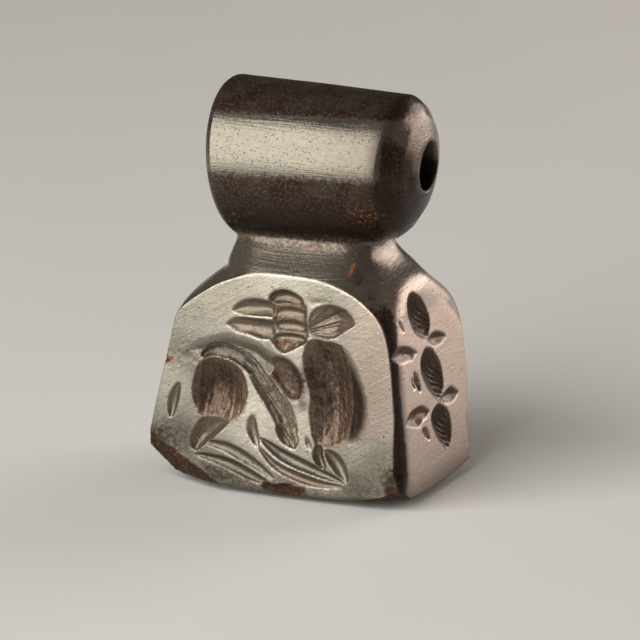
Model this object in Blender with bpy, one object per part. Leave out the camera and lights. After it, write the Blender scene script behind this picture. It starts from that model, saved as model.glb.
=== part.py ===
"""Amulet seal: a haematite stamp pendant, cut and drilled from one stone.

A flared block with engraved, arch-topped faces carries a short neck and a
barrel-shaped handle that is drilled lengthwise for a cord.  X runs along the
handle, the animal face looks towards -Y and the leaf face towards +X.
Lengths in the tables are millimetres; meshes are built in metres.
"""

import math

import bmesh
import bpy
from mathutils import Matrix, Vector

MM = 0.001

# Block: four flat faces, each given by its reach at the base and by how far
# it leans inward for each millimetre of height
FRONT_REACH = 4.78
FRONT_LEAN = 0.070
BACK_REACH = 4.93
BACK_LEAN = 0.005
RIGHT_REACH = 7.42
RIGHT_LEAN = 0.108
RIGHT_FLARE = 0.030         # further out for each millimetre towards the back
LEFT_REACH = 8.40
LEFT_LEAN = 0.208
FRONT_RIGHT_CHAMFER = 0.42
SMALL_CHAMFER = 0.12
BLOCK_FLOOR = 0.0
BLOCK_CEILING = 16.5

# Shoulder and neck: superellipse sections that the flat faces cut to arches.
# Each row is a height, the reach to the left, right, front and back, and the
# powers of the superellipse on the left and right, squarer towards the neck.
SECTION_SIDES = 52
DOME_LEVELS = (
    (-0.5, 10.6, 9.80, 11.0, 11.0, 2.8, 2.80),
    (7.50, 8.10, 7.70, 8.60, 11.0, 2.8, 2.25),
    (9.00, 7.45, 7.35, 7.40, 9.40, 2.8, 2.16),
    (10.0, 6.76, 7.05, 6.50, 7.60, 2.8, 2.18),
    (10.7, 6.00, 6.75, 5.85, 6.20, 2.8, 2.17),
    (11.3, 5.30, 6.40, 5.15, 4.98, 2.9, 2.20),
    (11.6, 4.92, 6.15, 4.75, 4.48, 3.0, 2.28),
    (11.9, 4.47, 5.75, 4.35, 4.15, 3.0, 2.43),
    (12.15, 4.36, 5.30, 4.04, 4.05, 3.1, 2.72),
    (12.35, 4.38, 4.95, 3.86, 3.90, 3.2, 2.90),
    (12.7, 4.28, 4.50, 3.50, 3.60, 3.3, 3.20),
    (13.1, 4.16, 4.15, 3.09, 3.30, 3.4, 3.40),
    (13.6, 3.98, 4.00, 2.62, 3.08, 3.5, 3.50),
    (13.9, 3.92, 3.97, 2.47, 3.02, 3.5, 3.50),
    (15.5, 3.88, 3.96, 2.44, 3.00, 3.5, 3.50),
)

# Underside: a shallow worn dome with a small flat to stand on
BASE_FLAT_DEPTH = 0.06
BASE_RISE_X = 0.0085        # rise in millimetres for each square millimetre
BASE_RISE_Y = 0.0150
BASE_GRID = 16

# Handle: a tapering barrel, lower and thicker at its left end.  Each row is a
# place along the axis from 0 to 1, a radius, and how far the ring leans: its
# shift along the axis for each millimetre above the axis.
HANDLE_LEFT = (-5.05, 17.60)    # end of the axis: X, height
HANDLE_RIGHT = (6.50, 17.97)
HANDLE_SIDES = 44
HANDLE_PROFILE = (
    (0.000, 1.60, -0.10),
    (0.010, 2.60, -0.10),
    (0.027, 3.60, -0.10),
    (0.047, 4.14, -0.10),
    (0.073, 4.37, -0.10),
    (0.490, 4.16, 0.00),
    (0.875, 3.90, 0.06),
    (0.925, 3.46, 0.08),
    (0.968, 2.72, 0.08),
    (0.990, 2.00, 0.08),
    (1.000, 1.50, 0.08),
)
BORE_RADIUS = 1.25
BORE_SIDES = 24
BORE_SKEW = 0.50                # the bore lies this far behind the axis

# Engraving: every cut is a boat-shaped groove swept along a short path
GROOVE_STATIONS = 9
GROOVE_SIDES = 8
GROOVE_LIFT = 0.25              # how far a cutter stands above the surface
ROUND_TIP = 0.5
LEAF_TIP = 0.8
POINTED_TIP = 1.0

# Cuts: path on the face, width, depth, tip.  Front paths are (X, height).
ANIMAL_CUTS = (
    # head in side view, as a stack of drilled drums, with its muzzle below
    (((-0.75, 10.88), (0.70, 10.88)), 0.85, 0.34, ROUND_TIP),
    (((-0.75, 10.23), (1.20, 10.33)), 0.95, 0.42, ROUND_TIP),
    (((-0.85, 9.43), (1.35, 9.48)), 0.95, 0.42, ROUND_TIP),
    (((-0.75, 8.73), (1.15, 8.83)), 0.80, 0.36, ROUND_TIP),
    (((-0.10, 9.08), (-0.10, 7.88)), 1.20, 0.34, POINTED_TIP),
    # horns to the left, ear to the right
    (((-3.15, 10.03), (-1.90, 10.28), (-0.65, 10.28)), 1.00, 0.30, LEAF_TIP),
    (((-3.45, 9.23), (-2.10, 9.13), (-0.60, 9.08)), 0.95, 0.30, LEAF_TIP),
    (((1.10, 9.58), (2.60, 9.98), (4.15, 10.08)), 1.95, 0.42, LEAF_TIP),
    # chest and shoulder, trunk, haunch
    (((2.05, 8.93), (3.05, 7.28), (3.25, 5.28), (2.45, 2.98)), 3.10, 0.75, ROUND_TIP),
    (((-5.00, 7.48), (-2.60, 7.78), (0.10, 6.98), (1.60, 5.28)), 2.20, 0.34, ROUND_TIP),
    (((-3.75, 7.33), (-3.60, 3.83)), 3.25, 0.70, ROUND_TIP),
    # tail laid over the haunch, ending in a tuft
    (((-4.75, 7.33), (-3.50, 7.78), (-2.10, 7.28), (-1.10, 5.98)), 0.95, 0.42, ROUND_TIP),
    (((-1.60, 6.68), (-0.70, 5.48), (0.10, 4.18), (0.70, 2.73)), 1.35, 0.40, ROUND_TIP),
    # hind leg and foot
    (((-3.05, 4.18), (-5.25, 2.28)), 1.00, 0.42, ROUND_TIP),
    (((-5.15, 2.33), (-3.00, 1.83), (-0.50, 0.83)), 0.55, 0.26, LEAF_TIP),
    (((-4.90, 1.88), (-3.10, 1.33), (-1.05, 0.68)), 0.45, 0.22, LEAF_TIP),
    # fore leg and foot
    (((2.45, 2.98), (3.90, 1.33)), 0.80, 0.30, LEAF_TIP),
    (((-1.90, 4.28), (-1.30, 2.63)), 0.62, 0.24, LEAF_TIP),
    (((-1.30, 3.13), (0.10, 2.03), (1.90, 1.48), (3.75, 1.23)), 0.52, 0.26, LEAF_TIP),
    (((-1.20, 2.53), (0.10, 1.53), (1.90, 1.00), (3.60, 1.03)), 0.46, 0.24, LEAF_TIP),
    # small leaf behind the animal
    (((-6.55, 3.73), (-6.10, 5.58)), 0.62, 0.20, LEAF_TIP),
)

# Side paths are (Y, height) on the right face, (-Y, height) on the left
LEAF_STEM_CUTS = (
    (((-0.35, 10.88), (0.05, 9.53), (0.50, 8.08)), 1.95, 0.46, LEAF_TIP),
    (((0.00, 7.98), (0.30, 6.63), (1.25, 5.13)), 2.00, 0.46, LEAF_TIP),
    (((0.75, 4.68), (1.25, 3.38), (2.05, 1.83)), 1.95, 0.46, LEAF_TIP),
    (((-3.85, 8.33), (-2.45, 8.18), (-1.05, 7.83)), 1.05, 0.34, LEAF_TIP),
    (((0.55, 7.83), (1.70, 8.03), (2.85, 7.73)), 0.90, 0.30, LEAF_TIP),
    (((-3.35, 4.58), (-1.85, 4.68), (-0.35, 4.48)), 1.05, 0.34, LEAF_TIP),
    (((1.05, 4.73), (2.30, 4.83), (3.50, 4.48)), 0.95, 0.30, LEAF_TIP),
    (((-2.05, 9.78), (-1.80, 9.13)), 0.38, 0.14, POINTED_TIP),
    (((-1.95, 6.93), (-1.50, 5.78)), 0.55, 0.22, POINTED_TIP),
    (((-1.35, 3.78), (-0.85, 2.93)), 0.50, 0.18, POINTED_TIP),
)
LEFT_LEAF_CUTS = (
    (((0.00, 9.60), (0.05, 6.90)), 1.30, 0.34, LEAF_TIP),
    (((0.10, 6.30), (0.00, 3.60)), 1.30, 0.34, LEAF_TIP),
    (((-2.60, 6.60), (-0.70, 6.40)), 0.85, 0.26, LEAF_TIP),
    (((0.80, 6.40), (2.60, 6.60)), 0.85, 0.26, LEAF_TIP),
)
# Back paths are (-X, height): a plain spray of leaves
BACK_LEAF_CUTS = (
    (((0.00, 11.00), (0.05, 8.20)), 1.30, 0.34, LEAF_TIP),
    (((0.05, 7.60), (0.00, 4.80)), 1.30, 0.34, LEAF_TIP),
    (((0.00, 4.20), (0.00, 1.80)), 1.10, 0.30, LEAF_TIP),
    (((-3.10, 8.90), (-0.90, 7.70)), 0.95, 0.28, LEAF_TIP),
    (((3.10, 8.90), (0.90, 7.70)), 0.95, 0.28, LEAF_TIP),
    (((-3.30, 5.60), (-0.90, 4.30)), 0.95, 0.28, LEAF_TIP),
    (((3.30, 5.60), (0.90, 4.30)), 0.95, 0.28, LEAF_TIP),
)

# Old damage: planes that shave the block's corners (point, outward normal)
SHAVED_CORNERS = (
    ((-7.30, -3.90, 1.25), (-0.70, -0.12, -0.62)),
    ((-6.20, -3.87, 0.48), (-0.42, -0.16, -0.89)),
    ((6.90, -4.20, 0.85), (0.25, -0.45, -0.86)),
    ((7.25, 4.50, 0.25), (0.45, 0.45, -0.77)),
    ((-7.30, -4.59, 2.60), (-0.30, -0.84, -0.45)),
)
# Nicks in the edges: middle, size, turn about Z in degrees
NICKS = (
    ((6.65, -4.45, 5.45), (0.75, 0.75, 0.85), 40.0),
    ((7.15, -4.60, 1.75), (1.10, 0.80, 1.30), 25.0),
    ((7.34, 4.94, 3.05), (1.40, 1.40, 1.80), 45.0),
    ((-7.10, -4.45, 7.00), (0.70, 0.70, 0.45), -30.0),
    ((0.60, -4.95, 0.45), (2.80, 0.80, 0.75), 0.0),
)

STONE_COLOUR = (0.082, 0.064, 0.054, 1.0)
STONE_ROUGHNESS = 0.28
STONE_METALLIC = 0.55


def clear_scene():
    """Remove whatever the open file holds."""
    for item in list(bpy.data.objects):
        bpy.data.objects.remove(item, do_unlink=True)


def stone_material():
    """Polished haematite: dark brown-grey with a half-metallic lustre."""
    material = bpy.data.materials.new("polished_haematite")
    material.use_nodes = True
    shader = material.node_tree.nodes["Principled BSDF"]
    shader.inputs["Base Color"].default_value = STONE_COLOUR
    shader.inputs["Roughness"].default_value = STONE_ROUGHNESS
    shader.inputs["Metallic"].default_value = STONE_METALLIC
    return material


def add_object(name, mesh_data, collection=None):
    """Turn a bmesh into a linked object of that name."""
    bmesh.ops.recalc_face_normals(mesh_data, faces=mesh_data.faces)
    mesh = bpy.data.meshes.new(name)
    mesh_data.to_mesh(mesh)
    mesh_data.free()
    item = bpy.data.objects.new(name, mesh)
    (collection or bpy.context.scene.collection).objects.link(item)
    return item


def mark_cutter(item):
    """Hide a helper solid so that it is not part of the object."""
    item.hide_render = True
    item.display_type = 'WIRE'


def loft(rings):
    """Skin a list of closed rings of points, given in millimetres."""
    body = bmesh.new()
    rows = [[body.verts.new(point * MM) for point in ring] for ring in rings]
    for low, high in zip(rows, rows[1:]):
        for index in range(len(low)):
            following = (index + 1) % len(low)
            body.faces.new((low[index], low[following], high[following], high[index]))
    body.faces.new(rows[0])
    body.faces.new(rows[-1])
    return body


def dome_section(height):
    """Reaches and powers of the shoulder's section at a height."""
    for low, high in zip(DOME_LEVELS, DOME_LEVELS[1:]):
        if height <= high[0]:
            share = (height - low[0]) / (high[0] - low[0])
            return [start + share * (end - start) for start, end in zip(low[1:], high[1:])]
    return DOME_LEVELS[-1][1:]


def dome_ring(height, left, right, front, back, left_power, right_power):
    """One section of the shoulder: a superellipse with four reaches."""
    ring = []
    for index in range(SECTION_SIDES):
        angle = 2.0 * math.pi * (index + 0.5) / SECTION_SIDES
        power = right_power if math.cos(angle) > 0.0 else left_power
        along = abs(math.cos(angle)) ** (2.0 / power)
        across = abs(math.sin(angle)) ** (2.0 / power)
        x = right * along if math.cos(angle) > 0.0 else -left * along
        y = back * across if math.sin(angle) > 0.0 else -front * across
        ring.append(Vector((x, y, height)))
    return ring


def shave(body, point, normal):
    """Cut away what lies beyond a plane and close the cut."""
    geometry = list(body.verts) + list(body.edges) + list(body.faces)
    cut = bmesh.ops.bisect_plane(
        body, geom=geometry, plane_co=Vector(point) * MM, plane_no=Vector(normal),
        clear_outer=True)
    rim = [item for item in cut["geom_cut"] if isinstance(item, bmesh.types.BMEdge)]
    bmesh.ops.contextual_create(body, geom=rim)


def right_reach(y, height):
    """How far out the right face lies at a depth and height."""
    return RIGHT_REACH + RIGHT_FLARE * y - RIGHT_LEAN * height


def block_ring(height):
    """Outline of the four flat faces at a height, its corners chamfered."""
    left = LEFT_LEAN * height - LEFT_REACH
    front = FRONT_LEAN * height - FRONT_REACH
    back = BACK_REACH - BACK_LEAN * height
    wide = FRONT_RIGHT_CHAMFER
    thin = SMALL_CHAMFER
    corners = (
        (left + thin, front), (right_reach(front, height) - wide, front),
        (right_reach(front + wide, height), front + wide),
        (right_reach(back - thin, height), back - thin), (right_reach(back, height) - thin, back),
        (left + thin, back), (left, back - thin), (left, front + thin))
    return [Vector((x, y, height)) for x, y in corners]


def make_block():
    """The flat faces with their chamfered and broken corners."""
    body = loft([block_ring(BLOCK_FLOOR), block_ring(BLOCK_CEILING)])
    for point, normal in SHAVED_CORNERS:
        shave(body, point, normal)
    return add_object("block_faces", body)


def make_dome():
    """The shoulder and neck, which the flat faces trim."""
    return add_object("amulet_seal", loft([dome_ring(*level) for level in DOME_LEVELS]))


def underside_height(x, y):
    """Height of the worn underside above the standing flat."""
    return BASE_RISE_X * x * x + BASE_RISE_Y * y * y - BASE_FLAT_DEPTH


def make_underside():
    """A dished slab whose upper face hollows out below the block."""
    body = bmesh.new()
    half_x = 10.0
    half_y = 7.0
    rows = []
    for row in range(BASE_GRID + 1):
        y = half_y * (2.0 * row / BASE_GRID - 1.0)
        xs = [half_x * (2.0 * column / BASE_GRID - 1.0) for column in range(BASE_GRID + 1)]
        rows.append([Vector((x, y, underside_height(x, y))) for x in xs])
    grid = [[body.verts.new(point * MM) for point in row] for row in rows]
    for low, high in zip(grid, grid[1:]):
        for index in range(BASE_GRID):
            body.faces.new((low[index], low[index + 1], high[index + 1], high[index]))
    extruded = bmesh.ops.extrude_face_region(body, geom=list(body.faces))
    moved = [item for item in extruded["geom"] if isinstance(item, bmesh.types.BMVert)]
    for vertex in moved:
        vertex.co.z = -4.0 * MM
    return add_object("underside_cut", body)


def handle_axis():
    """Start, direction and length of the barrel's axis."""
    start = Vector((HANDLE_LEFT[0], 0.0, HANDLE_LEFT[1]))
    end = Vector((HANDLE_RIGHT[0], 0.0, HANDLE_RIGHT[1]))
    return start, (end - start).normalized(), (end - start).length


def turned(start, direction, length, profile, sides):
    """Rings of a turned solid about an axis that lies in the XZ plane."""
    across = Vector((0.0, 1.0, 0.0))
    upward = direction.cross(across)
    rings = []
    for place, radius, lean in profile:
        centre = start + direction * (place * length)
        ring = []
        for index in range(sides):
            angle = 2.0 * math.pi * index / sides
            height = radius * math.cos(angle)
            ring.append(centre + across * (radius * math.sin(angle)) + upward * height
                        + direction * (lean * height))
        rings.append(ring)
    return rings


def make_handle():
    """The barrel with its rounded ends."""
    start, direction, length = handle_axis()
    rings = turned(start, direction, length, HANDLE_PROFILE, HANDLE_SIDES)
    return add_object("handle_barrel", loft(rings))


def make_bore():
    """The cord hole along the barrel, with worn, slightly flared mouths."""
    start, direction, length = handle_axis()
    flare = BORE_RADIUS * 1.12
    profile = ((-0.10, flare, 0.0), (0.004, flare, 0.0), (0.03, BORE_RADIUS, 0.0),
               (0.97, BORE_RADIUS, 0.0), (0.996, flare, 0.0), (1.10, flare, 0.0))
    start.y = BORE_SKEW
    return add_object("cord_bore", loft(turned(start, direction, length, profile, BORE_SIDES)))


def front_face(x, height):
    """Point of the front face."""
    return Vector((x, FRONT_LEAN * height - FRONT_REACH, height))


def back_face(x, height):
    """Point of the back face, seen from behind."""
    return Vector((-x, BACK_REACH - BACK_LEAN * height, height))


def bow(y, height, on_right):
    """How much the shoulder's side has curved in at a depth, from 1 to 0."""
    front, back, left_power, right_power = dome_section(height)[2:]
    power = right_power if on_right else left_power
    share = abs(y) / (back if y > 0.0 else front)
    return (1.0 - share ** power) ** (1.0 / power)


def right_face(y, height):
    """Point of the right face, flat below and domed above."""
    domed = dome_section(height)[1] * bow(y, height, True)
    return Vector((min(right_reach(y, height), domed), y, height))


def left_face(y, height):
    """Point of the left face, seen from the left."""
    domed = dome_section(height)[0] * bow(-y, height, False)
    return Vector((-min(LEFT_REACH - LEFT_LEAN * height, domed), -y, height))


def spline_point(path, place):
    """Point of a smooth curve through the path, for a place from 0 to 1."""
    spans = len(path) - 1
    span = min(int(place * spans), spans - 1)
    share = place * spans - span
    before = path[max(span - 1, 0)]
    first = path[span]
    second = path[span + 1]
    after = path[min(span + 2, spans)]
    result = []
    for axis in (0, 1):
        slope_in = 0.5 * (second[axis] - before[axis])
        slope_out = 0.5 * (after[axis] - first[axis])
        step = second[axis] - first[axis]
        curve = (2.0 * first[axis] - 2.0 * second[axis] + slope_in + slope_out) * share
        curve += 3.0 * step - 2.0 * slope_in - slope_out
        result.append(first[axis] + (slope_in + curve * share) * share)
    return result


def groove_ring(face, path, place, half_width, depth):
    """Cross-section of a groove: a parabola closed above the surface."""
    step = 0.02
    here = spline_point(path, place)
    behind = spline_point(path, max(place - step, 0.0))
    ahead = spline_point(path, min(place + step, 1.0))
    centre = face(*here)
    along = (face(*ahead) - face(*behind)).normalized()
    probe = 0.05
    normal = (face(here[0] + probe, here[1]) - centre).cross(
        face(here[0], here[1] + probe) - centre).normalized()
    across = normal.cross(along)
    reach = math.sqrt(1.0 + GROOVE_LIFT / depth)
    ring = []
    for index in range(GROOVE_SIDES + 1):
        side = reach * (2.0 * index / GROOVE_SIDES - 1.0)
        ring.append(centre + across * (side * half_width) + normal * (depth * (side * side - 1.0)))
    return ring


def make_groove(name, face, path, width, depth, tip):
    """A boat-shaped cutter along a path on a face."""
    rings = []
    for station in range(GROOVE_STATIONS + 1):
        place = 0.5 - 0.5 * math.cos(math.pi * station / GROOVE_STATIONS)
        fullness = max(1.0 - (2.0 * place - 1.0) ** 2, 0.01) ** tip
        rings.append(groove_ring(face, path, place, 0.5 * width * fullness, depth * fullness))
    return add_object(name, loft(rings))


def make_nick(name, middle, size, turn):
    """A small angular lump that knocks a chip out of an edge."""
    body = bmesh.new()
    bmesh.ops.create_icosphere(body, subdivisions=1, radius=0.5)
    shape = Matrix.Diagonal((*size, 1.0))
    place = Matrix.Translation(middle) @ Matrix.Rotation(math.radians(turn), 4, 'Z') @ shape
    bmesh.ops.transform(body, matrix=Matrix.Scale(MM, 4) @ place, verts=body.verts)
    return add_object(name, body)


def combine(item, other, operation):
    """Apply a Boolean with another object at once and drop that object."""
    mark_cutter(other)
    step = item.modifiers.new(other.name, 'BOOLEAN')
    step.object = other
    step.operation = operation
    step.solver = 'EXACT'
    graph = bpy.context.evaluated_depsgraph_get()
    result = bpy.data.meshes.new_from_object(item.evaluated_get(graph))
    item.modifiers.clear()
    old = item.data
    item.data = result
    bpy.data.meshes.remove(old)
    bpy.data.objects.remove(other, do_unlink=True)


def engrave(item, face, cuts, label):
    """Cut one face's grooves in their order."""
    for index, (path, width, depth, tip) in enumerate(cuts):
        combine(item, make_groove(f"{label}_{index:02d}", face, path, width, depth, tip),
                'DIFFERENCE')


def centre_on_base(item):
    """Move the mesh so that the middle of its footprint box is the origin."""
    xs = [vertex.co.x for vertex in item.data.vertices]
    ys = [vertex.co.y for vertex in item.data.vertices]
    zs = [vertex.co.z for vertex in item.data.vertices]
    middle = Vector(((min(xs) + max(xs)) / 2.0, (min(ys) + max(ys)) / 2.0, min(zs)))
    item.data.transform(Matrix.Translation(-middle))


def make_seal():
    """The whole stone: block, shoulder, handle, bore and carving."""
    seal = make_dome()
    combine(seal, make_block(), 'INTERSECT')
    combine(seal, make_handle(), 'UNION')
    combine(seal, make_bore(), 'DIFFERENCE')
    combine(seal, make_underside(), 'DIFFERENCE')
    engrave(seal, front_face, ANIMAL_CUTS, "animal_cut")
    engrave(seal, right_face, LEAF_STEM_CUTS, "leaf_cut")
    engrave(seal, left_face, LEFT_LEAF_CUTS, "left_cut")
    engrave(seal, back_face, BACK_LEAF_CUTS, "back_cut")
    for index, (middle, size, turn) in enumerate(NICKS):
        combine(seal, make_nick(f"nick_{index}", middle, size, turn), 'DIFFERENCE')
    centre_on_base(seal)
    seal.data.materials.clear()
    seal.data.materials.append(stone_material())
    seal.data.shade_smooth()
    seal.data.set_sharp_from_angle(angle=math.radians(30.0))
    return seal


clear_scene()
make_seal()
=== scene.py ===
"""Looks of the amulet seal: worn, engraved haematite standing on a pale floor.

The one piece keeps the form of the CAD solid.  Its fine mesh is the zero surface
of a signed field, built from the same named sizes as the construction and given
in millimetres in the drawing frame: X along the handle, -Y the animal face, +X
the leaf face.  At the end it is moved onto the CAD node and scaled to metres.
"""

import math
from functools import reduce

import bpy
import numpy as np
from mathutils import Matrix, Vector


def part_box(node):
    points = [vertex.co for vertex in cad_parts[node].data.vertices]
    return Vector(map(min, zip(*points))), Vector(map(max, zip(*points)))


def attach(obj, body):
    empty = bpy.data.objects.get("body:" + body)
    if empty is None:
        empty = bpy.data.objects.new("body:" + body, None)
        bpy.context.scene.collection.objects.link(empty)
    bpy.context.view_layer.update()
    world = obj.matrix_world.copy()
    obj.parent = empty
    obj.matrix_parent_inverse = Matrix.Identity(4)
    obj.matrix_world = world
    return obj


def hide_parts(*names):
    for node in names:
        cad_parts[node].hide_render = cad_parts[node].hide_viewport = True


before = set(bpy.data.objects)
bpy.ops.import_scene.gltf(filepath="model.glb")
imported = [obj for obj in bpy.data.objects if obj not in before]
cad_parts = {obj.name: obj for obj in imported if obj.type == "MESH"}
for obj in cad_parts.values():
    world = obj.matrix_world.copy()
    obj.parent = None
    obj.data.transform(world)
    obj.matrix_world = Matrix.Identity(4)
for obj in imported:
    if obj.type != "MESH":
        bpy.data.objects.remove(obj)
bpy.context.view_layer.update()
seal_low, seal_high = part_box("amulet_seal")

MM = 0.001
DRAWING_MIDDLE = (-0.379, 0.084)    # where the middle of the CAD footprint lies in the drawing

# --- the stone
# Flat faces of the block: reach at the base and inward lean for each mm up
FRONT_REACH = 4.78
FRONT_LEAN = 0.070
BACK_REACH = 4.93
BACK_LEAN = 0.005
RIGHT_REACH = 7.30
RIGHT_LEAN = 0.108
RIGHT_FLARE = 0.030             # further out for each mm towards the back
RIGHT_BULGE = 0.14
LEFT_REACH = 8.40
LEFT_LEAN = 0.208
FACE_WAVE = 0.010               # how far hand lapping leaves a face from flat
CHAMFER_HEIGHTS = (0.0, 1.2, 2.1, 3.4, 5.2, 7.1, 9.5)
CHAMFER_WIDTHS = (0.10, 0.12, 0.50, 0.44, 0.20, 0.18, 0.18)
REAR_CHAMFER_HEIGHTS = (0.0, 2.3, 4.0, 5.6, 7.6, 8.6, 9.6)
REAR_CHAMFER_WIDTHS = (0.55, 0.65, 0.42, 0.0, 0.0, 0.15, 0.40)

# Arris rounding: how wide each edge is worn
FRONT_WEAR = 0.06
CHAMFER_WEAR = 0.50
RIGHT_WEAR = 0.40
LEFT_WEAR = 0.22
BACK_WEAR = 0.22
UNDER_WEAR = 0.22
NECK_FILLET = 0.42
BORE_WEAR = 0.16

# Shoulder and neck sections: height, reach left, right, front and back, then the
# power of the superellipse on the left and on the right
DOME_LEVELS = (
    (-0.5, 10.6, 9.80, 11.0, 11.0, 2.8, 2.80),
    (7.50, 8.10, 7.70, 8.60, 11.0, 2.8, 2.25),
    (9.00, 7.45, 7.35, 7.40, 9.40, 2.8, 2.16),
    (10.0, 6.76, 7.05, 6.50, 7.60, 2.8, 2.18),
    (10.7, 6.00, 6.75, 5.85, 6.20, 2.8, 2.17),
    (11.3, 5.30, 6.40, 5.15, 4.98, 2.9, 2.20),
    (11.6, 4.92, 6.15, 4.75, 4.48, 3.0, 2.28),
    (11.9, 4.47, 5.75, 4.35, 4.15, 3.0, 2.43),
    (12.15, 4.36, 5.30, 4.04, 4.05, 3.1, 2.72),
    (12.35, 4.38, 4.95, 3.86, 3.90, 3.2, 2.90),
    (12.7, 4.28, 4.50, 3.50, 3.60, 3.3, 3.20),
    (13.1, 4.16, 4.15, 3.09, 3.30, 3.4, 3.40),
    (13.6, 3.98, 4.00, 2.62, 3.08, 3.5, 3.50),
    (13.9, 3.92, 3.97, 2.47, 3.02, 3.5, 3.50),
    (14.3, 3.88, 3.96, 2.44, 3.00, 3.5, 3.50),
    (17.5, 3.88, 3.96, 2.44, 3.00, 3.5, 3.50),
)
DOME_STEP = 0.05                # spacing of the smoothed table of sections
DOME_SOFTNESS = 0.11
NECK_TOP = 17.0

# Underside: a shallow worn dome with a small flat to stand on
BASE_FLAT_DEPTH = 0.06
BASE_RISE_X = 0.0085
BASE_RISE_Y = 0.0150

# Handle: (place along the axis, radius, lean of the ring)
HANDLE_LEFT = np.array((-5.05, 0.0, 17.60))
HANDLE_RIGHT = np.array((6.50, 0.0, 17.97))
HANDLE_PROFILE = (
    (0.000, 1.60, -0.10),
    (0.010, 2.60, -0.10),
    (0.027, 3.60, -0.10),
    (0.047, 4.14, -0.10),
    (0.073, 4.37, -0.10),
    (0.490, 4.16, 0.00),
    (0.875, 3.90, 0.06),
    (0.925, 3.46, 0.08),
    (0.968, 2.72, 0.08),
    (1.000, 1.50, 0.08),
)
PROFILE_STEP = 0.03             # spacing of the smoothed outline and its table
PROFILE_SOFTNESS = 0.09
PROFILE_MARGIN = 1.5            # how far the table goes past the ends
PROFILE_REACH = 6.0             # and out from the axis
BARREL_WAVE = 0.030
BORE_RADIUS = 1.25
BORE_FLARE = 0.14
BORE_SKEW = 0.50

# --- the engraving
ROUND_TIP = 0.5
LEAF_TIP = 0.8
POINTED_TIP = 1.0
PATH_STEPS = 20
FINE = 100.0                    # places on a face are in hundredths of a mm, sizes in mm
FACE_TOP = 12.6                 # no cut lies higher than this,
FACE_NEAREST = 3.0              # or nearer to the middle
CUT_SURROUND = 0.12             # how far around a cut the mesh is fine, as a depth
# Painted shade: a cut's colour darkens with its depth, fully at this depth.
FULL_DEPTH = 0.70               # cuts this deep are as dark as they get


def tool_marks(hair=0.0, ripple=0.0, stain=1.0, ridge=0.0, soft=0.0, matte=0.0, grime=0.0):
    """How a cut looks inside: heights of its striations, chatter and even tool ridges;
    how stained it is, or greyed if negative; 1 where its wall starts without an edge;
    1 where the stain has dried to a matte finish; how much painted shade darkens it."""
    return {"hair": hair, "ripple": ripple, "stain": stain, "ridge": ridge, "soft": soft,
            "matte": matte, "grime": grime}


def stroke(path, width, depth, tip=LEAF_TIP, skew=0.0, *marks, **more):
    """A drawn cut: a path on its face with a width; skew moves its deepest line."""
    return {"path": np.reshape(path, (-1, 2)) / FINE, "width": width, "depth": depth, "tip": tip,
            "skew": skew, **tool_marks(*marks, **more)}


def bowl(outline, depth, rim, deepest, lines, *marks, **more):
    """A drilled cut: an outline with a wall of that width, and the run of its tool
    lines: degrees, ("fan", point) or ("rings", point)."""
    return {"outline": np.reshape(outline, (-1, 2)) / FINE, "depth": depth, "rim": rim,
            "deepest": np.array(deepest) / FINE, "lines": lines, **tool_marks(*marks, **more)}


# Tool marks that several cuts share
# The last share in each of the next two lines is painted shade: it darkens the leaf bowls whose lower walls
# would catch the rim light.
RINGED = (0.03, 0.0, 1.0, 0.12, 0.0, 0.6, 0.55)
SHADED_LEAF_MARKS = {"soft": 0.15, "matte": 0.4, "grime": 0.42}
STRIATED = {"skew": 0.2, "hair": 0.05}
PALE = {"ripple": 0.01, "stain": 0.5}

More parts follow.
